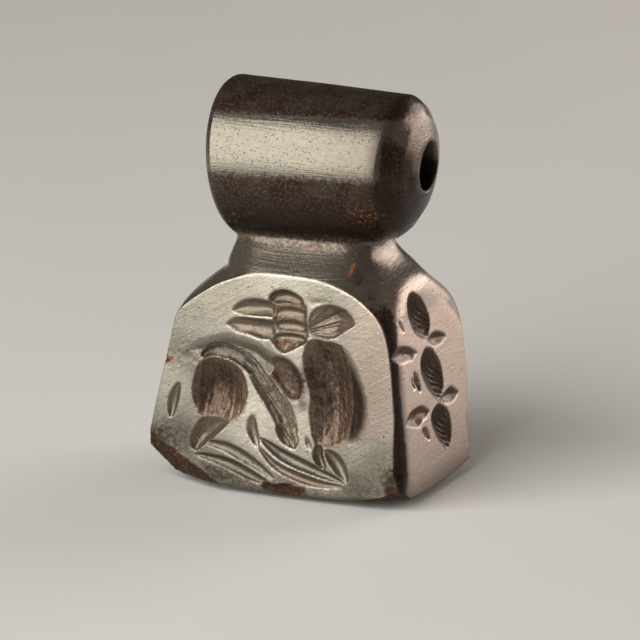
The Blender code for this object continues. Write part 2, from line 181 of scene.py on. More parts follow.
ANIMAL_CUTS = (
    # horns
    bowl((-310, 1008, -290, 1043, -250, 1073, -190, 1088, -120, 1088, -60, 1076, -55, 1000, -130, 992,
         -200, 988, -260, 990), 0.4, 0.48, (-120, 1048), 5.0, 0.02, 0.01, 0.85),
    bowl((-342, 933, -300, 968, -250, 978, -180, 981, -100, 981, -50, 973, -50, 888, -95, 870, -150, 868,
         -210, 883, -270, 890, -310, 908), 0.4, 0.5, (-140, 938), 0.0, 0.02, 0.01, 0.85),
    # head, its four drums and the muzzle
    bowl((-72, 1088, 110, 1093, 128, 1008, 130, 888, -66, 888, -74, 988), 0.24, 0.3, (20, 988), 0.0, 0.0,
         0.02),
    stroke((-95, 1083, -10, 1110, 105, 1086), 0.94, 0.44, ROUND_TIP, 0.1, 0.01, 0.0, 0.95),
    stroke((-72, 1020, 30, 1030, 126, 1022), 0.8, 0.36, ROUND_TIP, 0.1, 0.01, 0.0, 0.9),
    stroke((-74, 946, 30, 956, 132, 946), 0.92, 0.42, ROUND_TIP, 0.1, 0.01, 0.01, 0.9),
    stroke((-76, 880, 30, 890, 130, 886), 0.7, 0.38, ROUND_TIP, 0.1, 0.01, 0.01, 0.95),
    bowl((-98, 898, -62, 840, -12, 802, 35, 818, 85, 848, 134, 886, 30, 913), 0.34, 0.44, (10, 863), 90.0,
         0.03, 0.03, matte=0.4),
    # ear
    bowl((132, 943, 135, 1013, 168, 1068, 240, 1102, 320, 1094, 372, 1070, 408, 1020, 392, 988, 342, 954,
         290, 918, 220, 898, 162, 906), 0.5, 0.85, (290, 1038), ("fan", (90, 928)), 0.12, 0.05, 0.85),
    bowl((90, 1103, 160, 1133, 240, 1140, 300, 1118, 250, 1078, 150, 1068), 0.05, 0.4, (180, 1108), 10.0,
         stain=-0.8, soft=1.0),
    # chest
    bowl((130, 888, 170, 906, 230, 908, 290, 903, 340, 880, 378, 830, 405, 760, 424, 693, 432, 618, 432, 538,
         424, 478, 404, 418, 374, 373, 335, 338, 290, 313, 240, 300, 200, 308, 174, 358, 160, 428, 150, 498,
         156, 558, 148, 618, 128, 678, 110, 738, 105, 808), 1.0, 1.5, (195, 618), 97.0, 0.036, 0.06,
         matte=1.0),
    # Painted shade: the slope beside the chest is darkened as if it lay in shade.
    bowl((340, 888, 395, 833, 440, 748, 478, 658, 497, 568, 497, 488, 486, 430, 460, 372, 420, 335, 360, 370,
         330, 638, 300, 828), 0.34, 0.95, (390, 608), 90.0, soft=0.6, matte=0.6, grime=0.9),
    # trunk
    bowl((-545, 798, -450, 854, -350, 883, -245, 875, -150, 853, -80, 806, 0, 784, 70, 750, 106, 688,
         130, 618, 126, 564, 108, 542, 70, 534, 10, 546, -60, 598, -140, 678, -240, 728, -360, 748,
         -480, 728, -560, 748), 0.36, 0.95, (-120, 780), -35.0, 0.006, 0.0, -1.0, soft=0.7),
    # Its last share paints shade into the trunk's right lobe.
    bowl((-105, 780, -30, 800, 40, 778, 90, 728, 116, 666, 122, 605, 102, 556, 60, 540, 10, 550, -60, 610,
         -110, 700), 0.52, 0.55, (40, 660), -35.0, 0.01, 0.02, 1.0, 0.0, 0.6, 0.8, 0.2),
    bowl((-660, 748, -580, 793, -490, 808, -460, 728, -510, 678, -610, 683), 0.03, 0.7, (-520, 738), 10.0,
         stain=-0.5, soft=1.0),
    # haunch
    bowl((-538, 578, -520, 658, -488, 713, -430, 740, -350, 740, -280, 718, -230, 670, -205, 608, -200, 548,
         -215, 488, -250, 430, -300, 393, -360, 386, -430, 400, -480, 400, -512, 448, -536, 508), 0.92, 1.6,
         (-450, 578), 84.0, 0.06, 0.04, 1.0, 0.02, 0.0, 1.0),
    # tail and its tuft
    stroke((-485, 736, -420, 784, -310, 788, -220, 744, -140, 670, -80, 580), 1.12, 0.32, ROUND_TIP, 0.0,
           0.08, 0.03, -0.9, matte=0.9),
    stroke((-200, 730, -95, 605, 2, 466, 76, 290), 1.48, 0.38, ROUND_TIP, 0.15, 0.15, 0.04, 0.85, 0.09, 0.0,
           0.35),
    stroke((-25, 415, 10, 360, 60, 305), 0.78, 0.34, ROUND_TIP, 0.0, 0.12, 0.03, 0.85, 0.08, 0.0, 0.35),
    # hind leg and foot
    bowl((-475, 400, -518, 338, -540, 280, -534, 230, -502, 210, -466, 236, -400, 292, -342, 348, -306, 398,
         -380, 423), 0.4, 0.58, (-470, 308), 45.0, 0.03, 0.0, 0.85),
    stroke((-490, 272, -320, 250, -170, 186, -30, 106), 0.68, 0.2, hair=0.02, stain=-0.8, matte=0.4),
    stroke((-510, 196, -330, 168, -180, 116, -65, 80), 0.68, 0.24, LEAF_TIP, 0.0, 0.04, 0.01, -0.9,
           matte=0.3),
    # fore leg and foot
    stroke((-176, 450, -174, 368, -135, 273), 0.68, 0.22, stain=0.8),
    stroke((-135, 330, 0, 250, 160, 194, 382, 132), 0.76, 0.3, hair=0.02, stain=-0.9, matte=0.3),
    stroke((-145, 286, -40, 190, 90, 140, 230, 114, 370, 116), 0.58, 0.2, hair=0.02, stain=0.9),
    stroke((220, 328, 214, 268, 252, 190), 0.66, 0.3, ROUND_TIP, hair=0.02),
    stroke((252, 303, 322, 243, 388, 140), 0.84, 0.26, hair=0.02, stain=-0.8),
    # the stem in front of the animal, and a small chip
    stroke((-655, 378, -642, 478, -612, 580), 0.64, 0.22, stain=-0.9),
    stroke((142, 368, 156, 328, 176, 293), 0.34, 0.08, ripple=0.03, stain=0.8),
)
LEAF_STEM_CUTS = (
    bowl((-150, 1118, -105, 1133, -60, 1126, -10, 1090, 35, 1042, 62, 1000, 80, 950, 74, 905, 55, 872,
         30, 848, -35, 850, -90, 882, -140, 928, -170, 978, -185, 1024, -178, 1076), 0.56, 1.15, (5, 992),
         ("rings", (145, 1138)), *RINGED),
    bowl((-95, 758, -60, 790, -20, 808, 30, 800, 80, 770, 125, 718, 156, 668, 166, 608, 160, 550, 130, 508,
         85, 488, 40, 506, -10, 548, -60, 603, -95, 658, -110, 713), 0.58, 1.15, (85, 668),
         ("rings", (230, 798)), *RINGED),
    bowl((-35, 430, -8, 460, 40, 474, 90, 474, 135, 450, 182, 416, 210, 358, 215, 298, 198, 248, 170, 208,
         130, 198, 70, 238, 20, 288, -20, 346, -42, 388), 0.58, 1.15, (130, 348),
         ("rings", (290, 478)), *RINGED),
    bowl((-412, 838, -370, 886, -300, 890, -220, 866, -160, 838, -114, 802, -150, 792, -190, 778, -240, 788,
         -310, 792, -360, 802), 0.32, 0.52, (-270, 838), -10.0, **SHADED_LEAF_MARKS),
    bowl((12, 840, 45, 854, 92, 864, 150, 858, 218, 834, 262, 798, 210, 782, 140, 774, 80, 788), 0.28, 0.46,
         (140, 818), -10.0, **SHADED_LEAF_MARKS),
    bowl((-362, 468, -300, 514, -220, 526, -140, 520, -90, 500, -42, 466, -80, 438, -140, 428, -200, 408,
         -260, 428, -320, 443), 0.32, 0.52, (-180, 473), -4.0, **SHADED_LEAF_MARKS),
    bowl((82, 486, 140, 508, 230, 526, 292, 504, 342, 464, 262, 432, 190, 438, 130, 454), 0.28, 0.42,
         (220, 478), -4.0, **SHADED_LEAF_MARKS),
    stroke((-292, 1018, -272, 983, -250, 946), 0.34, 0.1, POINTED_TIP, 0.0, 0.02, 0.04, 0.6),
    stroke((-230, 698, -210, 658, -198, 618), 0.4, 0.14, POINTED_TIP, 0.0, 0.02, 0.03, 0.4),
    stroke((-192, 716, -162, 660, -130, 590), 0.6, 0.28, POINTED_TIP, 0.2, 0.05, 0.02),
    stroke((-162, 383, -110, 360, -72, 310), 0.55, 0.22, POINTED_TIP, 0.2, 0.05, 0.04, 0.9),
)
LEFT_LEAF_CUTS = (
    stroke((0, 960, 5, 690), 1.4, 0.36, **STRIATED),
    stroke((10, 630, 0, 360), 1.4, 0.36, **STRIATED),
    stroke((-260, 660, -70, 640), 0.85, 0.26, **PALE),
    stroke((80, 640, 260, 660), 0.85, 0.26, **PALE),
)
BACK_LEAF_CUTS = (
    stroke((0, 1100, 5, 820), 1.4, 0.36, **STRIATED),
    stroke((5, 760, 0, 480), 1.4, 0.36, **STRIATED),
    stroke((0, 420, 0, 180), 1.2, 0.32, **STRIATED),
    *(stroke((side * reach, top, side * 90, foot), 0.95, 0.28, **PALE)
      for reach, top, foot in ((310, 890, 770), (330, 560, 430)) for side in (-1, 1)),
)
HAIR_WIDTH = 0.15               # sizes of the tool marks inside the cuts
HAIR_LENGTH = 1.8
RIPPLE_SIZE = 0.30
RIM_CHIPS = 0.025
RIDGE_PITCH = 0.27

# Old damage: shaved corners and rough bevels (point, outward normal), then nicks
# (middle, size, turn about Z in degrees)
SHAVED_CORNERS = (
    ((-7.30, -3.90, 1.25), (-0.70, -0.12, -0.62)),
    ((-6.20, -3.87, 0.48), (-0.42, -0.16, -0.89)),
    ((6.90, -4.20, 0.85), (0.25, -0.45, -0.86)),
    ((7.25, 4.50, 0.25), (0.45, 0.45, -0.77)),
    ((-7.30, -4.59, 2.60), (-0.30, -0.84, -0.45)),
    ((-3.90, -4.73, 0.60), (-0.20, -0.84, -0.42)),
)
NICKS = (
    ((6.78, -4.52, 5.42), (0.62, 0.62, 0.72), 40.0),
    ((6.92, -4.78, 5.70), (0.40, 0.50, 0.40), 10.0),
    ((7.18, -4.82, 1.75), (1.00, 0.60, 1.10), 25.0),
    ((6.60, -4.95, 1.20), (1.30, 0.60, 0.80), 0.0),
    ((7.24, 4.90, 3.20), (1.70, 1.70, 1.40), 45.0),
    ((7.10, 5.00, 2.45), (1.60, 1.20, 1.10), 25.0),
    ((-7.05, -4.45, 7.05), (0.80, 0.60, 0.40), -30.0),
    ((0.30, -4.98, 0.62), (2.60, 0.80, 0.80), 0.0),
    ((-0.75, -4.92, 0.72), (0.80, 0.60, 0.50), 0.0),
)
BREAK_LUMP = 0.45               # size of the lumps on a broken surface
BREAK_ROUGHNESS = 0.10

# How dull the animal face is: x, z, share; the high shares along its bottom and left edge also paint shade
# there
FRONT_DULL_AND_SHADE_SHARES = (
    (0.0, 12.2, 0.14), (-4.2, 11.0, 0.34), (4.6, 10.8, 0.40), (-5.3, 9.5, 0.47), (5.2, 8.5, 0.56),
    (-5.6, 7.6, 0.72), (5.5, 5.0, 0.58), (-6.6, 5.6, 0.38), (5.3, 2.7, 0.80), (-6.3, 3.1, 0.98),
    (-3.6, 1.2, 1.05), (0.5, 0.8, 1.05), (4.6, 1.3, 1.00), (-1.6, 4.8, 0.00), (-2.3, 3.4, 0.15),
    (0.9, 8.3, 0.15), (1.1, 4.6, 0.00), (-3.0, 9.6, 0.30), (4.4, 3.2, 0.50), (-6.9, 4.4, 0.60),
    (0.3, 2.1, 0.45), (-3.0, 2.3, 0.75),
)

# Dark film that also paints shade, then rust: middle, size, strength
FILM_AND_SHADE_SPOTS = (
    ((-7.4, -4.4, 2.6), 1.3, 0.7),
    ((-6.4, -4.3, 7.4), 1.1, 0.35),
    ((5.0, -2.6, 14.6), 1.8, 1.0),
    ((3.9, -3.4, 12.7), 0.9, 0.9),
    ((5.0, -3.8, 11.9), 0.9, 0.9),
    ((0.9, -4.0, 6.6), 1.0, 0.85),
    ((6.7, -4.6, 1.8), 1.0, 0.9),
    ((-6.4, -4.4, 2.4), 1.6, 0.45),
    ((-4.8, -1.0, 14.2), 1.6, 0.9),
)
# Painted shade: soft darkening over places that would lie in shade
SHADE_SPOTS = (
    ((1.15, -4.35, 5.4), 0.45, 0.70), ((0.60, -4.35, 5.35), 0.40, 0.50),
    ((-4.9, -3.9, 6.0), 0.70, 0.50), ((-4.6, -3.9, 6.9), 0.50, 0.45), ((-4.9, -4.0, 4.9), 0.60, 0.40),
    ((1.35, -3.9, 7.2), 0.60, 0.60), ((1.50, -3.8, 6.0), 0.50, 0.55), ((1.90, -3.9, 8.7), 0.60, 0.45),
    ((1.40, -3.9, 4.6), 0.50, 0.50),
    ((-4.7, -4.3, 7.6), 0.45, 0.50), ((-5.4, -4.4, 7.2), 0.60, 0.25), ((6.20, -1.5, 14.8), 1.30, 0.75),
    ((-0.90, -4.3, 8.1), 0.50, 0.45), ((4.90, -1.3, 13.3), 0.90, 0.45),
)
RUST_SPOTS = (
    ((3.40, -2.9, 12.75), (0.12, 1.0, 0.42), 1.4),
    ((4.6, -3.2, 15.8), (2.0, 1.6, 1.4), 0.60),
    ((3.5, -3.6, 14.4), (2.2, 1.4, 0.6), 0.60),
    ((-3.9, -2.6, 13.6), (1.2, 1.4, 0.7), 0.75),
    ((1.0, -3.0, 13.75), (3.5, 1.0, 0.25), 0.60),
    ((-3.4, -3.8, 15.2), (2.0, 1.5, 0.9), 0.55),
    ((-5.0, -1.5, 16.0), (0.8, 3.0, 1.6), 0.50),
    ((-6.7, -4.3, 7.1), (0.70, 0.5, 0.22), 1.0),
    ((-0.25, -4.1, 8.6), (0.35, 0.8, 0.28), 0.75),
    ((0.22, -4.0, 8.5), (0.25, 0.8, 0.30), 0.80),
    ((0.2, -4.4, 1.75), (0.9, 0.6, 0.35), 0.6),
    ((3.4, -3.9, 9.95), (0.4, 0.6, 0.2), 0.7),
    ((-2.7, -3.5, 6.2), (0.8, 1.0, 1.0), 0.35),
    ((-4.9, -4.0, 7.1), (0.5, 0.8, 0.4), 0.6),
    ((-7.6, 0.0, 1.5), (0.6, 3.0, 0.8), 0.5),
    ((0.0, 4.9, 1.0), (3.0, 0.5, 0.6), 0.5),
    ((-4.0, 1.5, 14.2), (1.0, 1.8, 0.8), 0.6),
)

# Mesh sizes: grid of the first surface, then edge lengths wanted
GRID_STEP = 0.26
GRID_LOW = (-8.7, -5.4, -0.5)
GRID_HIGH = (7.9, 5.4, 22.8)
CARVED_EDGE = 0.075
PLAIN_CARVED_EDGE = 0.14
SMOOTH_EDGE = 0.32
BEND_LIMIT = 0.16               # radians between the normals at an edge's ends
BEND_EDGE = 0.10                # edges this short are not split for their bend


# --- small helpers
def unit(value):
    """The value, held between 0 and 1."""
    return np.clip(value, 0.0, 1.0)


def length(vectors):
    """Lengths of vectors."""
    return np.linalg.norm(vectors, axis=-1)


def travel(line):
    """Distance along a line to each of its points."""
    return np.concatenate(((0.0,), np.cumsum(length(np.diff(line, axis=0)))))


def softened(columns, step, softness):
    """Columns of evenly spaced values, smoothed over that softness."""
    spread = int(3.0 * softness / step)
    weights = np.exp(-0.5 * (np.arange(-spread, spread + 1) * step / softness) ** 2)
    weights /= weights.sum()
    return [np.convolve(np.pad(column, spread, mode="edge"), weights, mode="valid") for column in columns]


def outline_distance(points, line):
    """Distance from an outline, negative on its inside."""
    nearest = np.full(points.shape[:-1], 1e9)
    inside = np.zeros(points.shape[:-1], dtype=bool)
    for start, end in zip(line, line[1:]):
        step = end - start
        share = unit((points - start) @ step / max(step @ step, 1e-12))
        gap = points - start - share[..., None] * step
        nearest = np.minimum(nearest, (gap ** 2).sum(axis=-1))
        spans = (start[1] <= points[..., 1]) != (end[1] <= points[..., 1])
        if spans.any():
            crossing = start[0] + (points[..., 1] - start[1]) * step[0] / step[1]
            inside ^= spans & (points[..., 0] < crossing)
    return np.where(inside, -1.0, 1.0) * np.sqrt(nearest)


# --- noise
def lattice_value(cells, seed):
    """Repeatable value from 0 to 1 for each whole-numbered cell."""
    mixed = cells[:, 0] * 73856093 ^ cells[:, 1] * 19349663 ^ cells[:, 2] * 83492791
    mixed = (mixed ^ seed * 668265263) & 0x7FFFFFFF
    mixed = ((mixed >> 13) ^ mixed) * 1274126177 & 0x7FFFFFFF
    mixed = ((mixed >> 15) ^ mixed) * 844803 & 0x7FFFFFFF
    return (mixed >> 7 & 0xFFFF) / 65535.0


def noise(points, size, seed):
    """Smooth noise from -1 to 1 with lumps of that size."""
    place = points / size
    cell = np.floor(place).astype(np.int64)
    share = place - cell
    share = share * share * (3.0 - 2.0 * share)
    total = np.zeros(len(points))
    for corner in range(8):
        offset = np.array((corner & 1, corner >> 1 & 1, corner >> 2))
        weight = np.where(offset, share, 1.0 - share).prod(axis=1)
        total += weight * lattice_value(cell + offset, seed)
    return 2.0 * total - 1.0


def rough_noise(points, size, seed):
    """Noise with two finer layers on it."""
    total = noise(points, size, seed)
    total += 0.5 * noise(points, 0.47 * size, seed + 1)
    return (total + 0.25 * noise(points, 0.21 * size, seed + 2)) / 1.75


# --- the field
def round_max(first, second, width):
    """Intersection of two fields with an arris worn over that width."""
    overlap = np.maximum(1.0 - np.abs(first - second) / width, 0.0)
    return np.maximum(first, second) + 0.25 * width * overlap * overlap


def round_min(first, second, width):
    """Union of two fields with a fillet of that width."""
    return -round_max(-first, -second, width)


def smoothed_sections():
    """Heights and section sizes of the shoulder in fine, smoothed steps."""
    table = np.array(DOME_LEVELS).T
    heights = np.arange(table[0, 0], table[0, -1], DOME_STEP)
    columns = [np.interp(heights, table[0], column) for column in table[1:]]
    return heights, softened(columns, DOME_STEP, DOME_SOFTNESS)


SECTION_HEIGHTS, SECTION_COLUMNS = smoothed_sections()
SECTION_SLOPES = [np.gradient(column, DOME_STEP) for column in SECTION_COLUMNS[:4]]


def dome_field(points):
    """Shoulder and neck: superellipse sections stacked by height."""
    x, y, z = points.T
    left, right, front, back, left_power, right_power = (
        np.interp(z, SECTION_HEIGHTS, column) for column in SECTION_COLUMNS)
    slopes = [np.interp(z, SECTION_HEIGHTS, column) for column in SECTION_SLOPES]
    reach_x = np.where(x > 0.0, right, left)
    reach_y = np.where(y > 0.0, back, front)
    power = np.where(x > 0.0, right_power, left_power)
    level = ((np.abs(x) / reach_x) ** power + (np.abs(y) / reach_y) ** power) ** (1.0 / power)
    out = np.hypot(x, y)
    away = np.maximum(out, 0.5)
    slope_x = np.where(x > 0.0, slopes[1], slopes[0]) * x / away
    slope_y = np.where(y > 0.0, slopes[3], slopes[2]) * y / away
    side = (out - out / np.maximum(level, 0.05)) / np.sqrt(1.0 + slope_x ** 2 + slope_y ** 2)
    return np.maximum(side, z - NECK_TOP)


def on_handle(points, skew=0.0):
    """Places along and above the handle's axis, and the distance from it."""
    offset = points - HANDLE_LEFT - (0.0, skew, 0.0)
    above = offset @ HANDLE_UPWARD
    return offset @ HANDLE_DIRECTION, above, np.hypot(above, offset[:, 1])


def sloped(outward, reach, lean, height):
    """A flat face that leans inward with height."""
    return (outward - reach + lean * height) / math.hypot(1.0, lean)


def face_fields(points):
    """Fields of the front, right, left and back faces and the underside."""
    x, y, z = points.T
    wave = FACE_WAVE * noise(points, 2.6, 5)
    belly = RIGHT_BULGE * unit(1.0 - ((z - 5.5) / 6.5) ** 2) + RIGHT_FLARE * y
    front = sloped(-y, FRONT_REACH, FRONT_LEAN, z) + wave
    right = sloped(x, RIGHT_REACH, RIGHT_LEAN, z) - belly + wave
    left = sloped(-x, LEFT_REACH, LEFT_LEAN, z) + wave
    back = sloped(y, BACK_REACH, BACK_LEAN, z) + wave
    under = np.maximum(BASE_RISE_X * x * x + BASE_RISE_Y * y * y - BASE_FLAT_DEPTH, 0.0) - z
    return front, right, left, back, under


def block_field(points):
    """Shoulder, faces and worn arrises of the block."""
    front, right, left, back, under = face_fields(points)
    width = np.interp(points[:, 2], CHAMFER_HEIGHTS, CHAMFER_WIDTHS)
    rear_width = np.interp(points[:, 2], REAR_CHAMFER_HEIGHTS, REAR_CHAMFER_WIDTHS)
    body = dome_field(points)
    for face, wear in ((right, RIGHT_WEAR), (left, LEFT_WEAR), (back, BACK_WEAR),
                       ((back + right + rear_width) / math.sqrt(2.0), BACK_WEAR),
                       ((front + right + width) / math.sqrt(2.0), CHAMFER_WEAR),
                       (front, FRONT_WEAR), (under, UNDER_WEAR)):
        body = round_max(body, face, wear)
    return body


def smooth_profile():
    """The barrel's outline from axis to axis as a fine, softened line."""
    knots = np.array([(place * HANDLE_LENGTH, radius) for place, radius, _ in HANDLE_PROFILE])
    knots = np.vstack(((knots[0, 0], 0.0), knots, (knots[-1, 0], 0.0)))
    travelled = travel(knots)
    places = np.arange(0.0, travelled[-1], PROFILE_STEP)
    columns = [np.interp(places, travelled, column) for column in knots.T]
    return np.stack(softened(columns, PROFILE_STEP, PROFILE_SOFTNESS), axis=1)


def profile_table(line):
    """Distance to the outline over a fine grid of places and radii, negative inside."""
    places = np.arange(-PROFILE_MARGIN, HANDLE_LENGTH + PROFILE_MARGIN, PROFILE_STEP)
    radii = np.arange(0.0, PROFILE_REACH, PROFILE_STEP)
    grid = np.stack(np.meshgrid(places, radii, indexing="ij"), axis=-1)
    return outline_distance(grid[..., ::-1], line[:, ::-1])


HANDLE_LENGTH = float(np.linalg.norm(HANDLE_RIGHT - HANDLE_LEFT))
HANDLE_DIRECTION = (HANDLE_RIGHT - HANDLE_LEFT) / HANDLE_LENGTH
HANDLE_UPWARD = np.cross(HANDLE_DIRECTION, (0.0, 1.0, 0.0))
PROFILE_TABLE = profile_table(smooth_profile())
LEAN_PLACES = [row[0] * HANDLE_LENGTH for row in HANDLE_PROFILE]
LEANS = [row[2] for row in HANDLE_PROFILE]


def barrel_field(points):
    """Distance from the turned, slightly leaning barrel."""
    along, height, radius = on_handle(points)
    along = along - np.interp(along, LEAN_PLACES, LEANS) * height
    radius = radius + BARREL_WAVE * noise(points, 3.1, 9)
    row = np.clip((along + PROFILE_MARGIN) / PROFILE_STEP, 0.0, PROFILE_TABLE.shape[0] - 1.001)
    column = np.clip(radius / PROFILE_STEP, 0.0, PROFILE_TABLE.shape[1] - 1.001)
    i, j = row.astype(int), column.astype(int)
    u, v = row - i, column - j
    low = (1.0 - v) * PROFILE_TABLE[i, j] + v * PROFILE_TABLE[i, j + 1]
    high = (1.0 - v) * PROFILE_TABLE[i + 1, j] + v * PROFILE_TABLE[i + 1, j + 1]
    return (1.0 - u) * low + u * high


def bore_field(points):
    """The drilled hole, positive inside it, wider at its mouths."""
    along, _, radius = on_handle(points, BORE_SKEW)
    from_end = np.minimum(along, HANDLE_LENGTH - along)
    return BORE_RADIUS + BORE_FLARE * unit(1.0 - from_end / 0.7) ** 2 - radius


def break_field(points):
    """Chipped corners and nicks, positive where stone is missing."""
    missing = np.full(len(points), -9.0)
    for point, normal in SHAVED_CORNERS:
        beyond = (points - point) @ (np.array(normal) / np.linalg.norm(normal))
        missing = np.maximum(missing, beyond)
    for middle, size, turn in NICKS:
        x, y, z = (points - middle).T
        cos, sin = math.cos(math.radians(turn)), math.sin(math.radians(turn))
        local = np.stack((x * cos + y * sin, y * cos - x * sin, z), axis=1) / (0.5 * np.array(size))
        missing = np.maximum(missing, (1.0 - length(local)) * 0.5 * min(size))
    return missing + BREAK_ROUGHNESS * rough_noise(points, BREAK_LUMP, 21)


def seal_field(points):
    """The whole stone before engraving: negative inside."""
    body = round_min(block_field(points), barrel_field(points), NECK_FILLET)
    body = round_max(body, bore_field(points), BORE_WEAR)
    return round_max(body, break_field(points), 0.03)


def gradient(field, points, step=0.01):
    """Slope of a field by central differences."""
    return np.stack([(field(points + shift) - field(points - shift)) / (2.0 * step)
                     for shift in step * np.eye(3)], axis=1)


def settle(field, points, rounds):
    """Move points along the slope onto the field's zero surface."""
    for _ in range(rounds):
        slope = gradient(field, points)
        pull = field(points) / np.maximum((slope ** 2).sum(axis=1), 0.2)
        points = points - np.clip(pull, -0.3, 0.3)[:, None] * slope
    return points


# --- the mesh
CROSS_AXES = ((1, 2), (0, 2), (0, 1))


def layers(array, axis, first):
    """An array without its last layer along an axis, or without the one at its start."""
    return array[(slice(None),) * axis + (slice(first, array.shape[axis] - 1 + first),)]


def surface_net(field, low, high, step):
    """Triangles around the zero surface of a field, from a regular grid."""
    counts = [int(math.ceil((high[axis] - low[axis]) / step)) + 1 for axis in range(3)]
    axes = [low[axis] + step * np.arange(counts[axis]) for axis in range(3)]
    grid = np.stack(np.meshgrid(*axes, indexing="ij"), axis=-1)
    values = field(grid.reshape(-1, 3)).reshape(counts)
    cells = [count - 1 for count in counts]
    total = np.zeros((*cells, 3))
    hits = np.zeros(cells)
    crossings = []
    for axis, (one, other) in enumerate(CROSS_AXES):
        start, end = layers(values, axis, 0), layers(values, axis, 1)
        crossing = (start < 0.0) != (end < 0.0)
        place = layers(grid, axis, 0).copy()
        place[..., axis] += step * np.where(crossing, start / np.where(crossing, start - end, 1.0), 0.0)
        crossings.append((crossing, start < 0.0))
        for first in (0, 1):
            for second in (0, 1):
                touched = layers(layers(crossing, one, first), other, second)
                spot = layers(layers(place, one, first), other, second)
                total += np.where(touched[..., None], spot, 0.0)
                hits += touched
    used = hits > 0
    number = np.full(cells, -1)
    number[used] = np.arange(used.sum())
    triangles = []
    for axis, (crossing, inward) in enumerate(crossings):
        index = np.argwhere(crossing)
        corners = []
        for steps in ((1, 1), (0, 1), (0, 0), (1, 0)):
            cell = index.copy()
            cell[:, CROSS_AXES[axis]] -= steps
            corners.append(number[tuple(cell.T)])
        quad = np.stack(corners, axis=1)
        flip = inward[crossing] == (axis == 1)
        quad[flip] = quad[flip][:, ::-1]
        triangles += [quad[:, (0, 1, 2)], quad[:, (0, 2, 3)]]
    return total[used] / hits[used][:, None], np.vstack(triangles)


def edge_table(triangles):
    """Unique edges and, for each triangle, the numbers of its three edges."""
    ends = np.stack((triangles, np.roll(triangles, -1, axis=1)), axis=2).reshape(-1, 2)
    ends.sort(axis=1)
    keys = ends[:, 0].astype(np.int64) * (triangles.max() + 1) + ends[:, 1]
    unique, first, inverse = np.unique(keys, return_index=True, return_inverse=True)
    return ends[first], inverse.reshape(-1, 3)


def refine(points, triangles, wanted):
    """Halve every edge that is too long or bends too much, and split its triangles to match."""
    edges, of_triangle = edge_table(triangles)
    start, end = points[edges[:, 0]], points[edges[:, 1]]
    size = length(end - start)
    middle = 0.5 * (start + end)
    normals = vertex_normals(points, triangles)
    bend = length(normals[edges[:, 0]] - normals[edges[:, 1]])
    split = (size > 1.3 * wanted(middle)) | ((bend > BEND_LIMIT) & (size > BEND_EDGE))
    for _ in range(3):                  # a split triangle splits its longest edge
        longest = size[of_triangle].argmax(axis=1)
        touched = split[of_triangle].any(axis=1)
        split[of_triangle[np.arange(len(triangles)), longest][touched]] = True
    number = np.full(len(edges), -1)
    number[split] = len(points) + np.arange(split.sum())
    pattern = split[of_triangle]
    count = pattern.sum(axis=1)
    made = [triangles[count == 0].T]
    for turn in range(3):
        corner, cut, marks = (np.roll(table, -turn, axis=1) for table in (triangles, of_triangle, pattern))
        one = (count == 1) & marks[:, 0]
        a, b, c = corner[one].T
        m = number[cut[one][:, 0]]
        made += [(a, m, c), (m, b, c)]
        two = (count == 2) & ~marks[:, 2]
        a, b, c = corner[two].T
        m, n = number[cut[two][:, 0]], number[cut[two][:, 1]]
        made += [(m, b, n), (a, m, n), (a, n, c)]
    full = count == 3
    a, b, c = triangles[full].T
    m, n, o = number[of_triangle[full]].T
    made += [(a, m, o), (m, b, n), (o, n, c), (m, n, o)]
    return np.vstack((points, middle[split])), np.hstack([np.array(corners) for corners in made]).T


def gather(index, vectors, size):
    """Sum of the vectors that belong to each index."""
    return np.stack([np.bincount(index, column, size) for column in vectors.T], axis=1)


def vertex_normals(points, triangles):
    """Area-weighted normals."""
    a, b, c = (points[triangles[:, corner]] for corner in range(3))
    normals = gather(triangles.ravel(), np.repeat(np.cross(b - a, c - a), 3, axis=0), len(points))
    return normals / np.maximum(length(normals), 1e-12)[:, None]


def relax(points, triangles, share):
    """Slide points along the surface towards the mean of their neighbours."""
    edges, _ = edge_table(triangles)
    first, second = edges.T
    total = gather(first, points[second], len(points)) + gather(second, points[first], len(points))
    pull = total / np.maximum(np.bincount(edges.ravel(), minlength=len(points)), 1)[:, None] - points
    normals = vertex_normals(points, triangles)
    pull -= (pull * normals).sum(axis=1)[:, None] * normals
    return points + share * pull


# --- the cuts
def curve(knots, places):
    """Points of a smooth curve through all but the end knots, at places counted in spans."""
    span = np.minimum(places.astype(int), len(knots) - 4)
    share = (places - span)[:, None]
    before, first, second, after = (knots[span + step] for step in range(4))
    slope_in, slope_out, step = 0.5 * (second - before), 0.5 * (after - first), second - first
    bend = (slope_in + slope_out - 2.0 * step) * share + 3.0 * step - 2.0 * slope_in - slope_out
    return first + (slope_in + bend * share) * share


def stroke_depth(cut, spot):
    """Depth of a stroke, and its lengthwise and cross places."""
    path = cut["path"]
    line = curve(np.vstack((path[0], path, path[-1])), np.linspace(0.0, len(path) - 1.0, PATH_STEPS + 1))
    best = np.full(len(spot), 1e9)
    place = np.zeros(len(spot))
    side = np.zeros(len(spot))
    for index, (start, end) in enumerate(zip(line, line[1:])):
        step = end - start
        share = unit((spot - start) @ step / (step @ step))
        gap = spot - start - share[:, None] * step
        distance = (gap ** 2).sum(axis=1)
        closer = distance < best
        turned = (step[0] * gap[:, 1] - step[1] * gap[:, 0]) / np.linalg.norm(step)
        best = np.where(closer, distance, best)
        place = np.where(closer, (index + share) / PATH_STEPS, place)
        side = np.where(closer, np.sign(turned) * np.sqrt(distance), side)
    fullness = np.maximum(1.0 - (2.0 * place - 1.0) ** 2, 0.01) ** cut["tip"]
    lateral = side / (0.5 * cut["width"] * fullness) - cut["skew"]
    lateral = lateral / (1.0 - np.sign(lateral) * cut["skew"])
    sunk = cut["depth"] * fullness * (1.0 - lateral ** 2)
    return sunk, np.interp(place * PATH_STEPS, np.arange(PATH_STEPS + 1), travel(line)), side


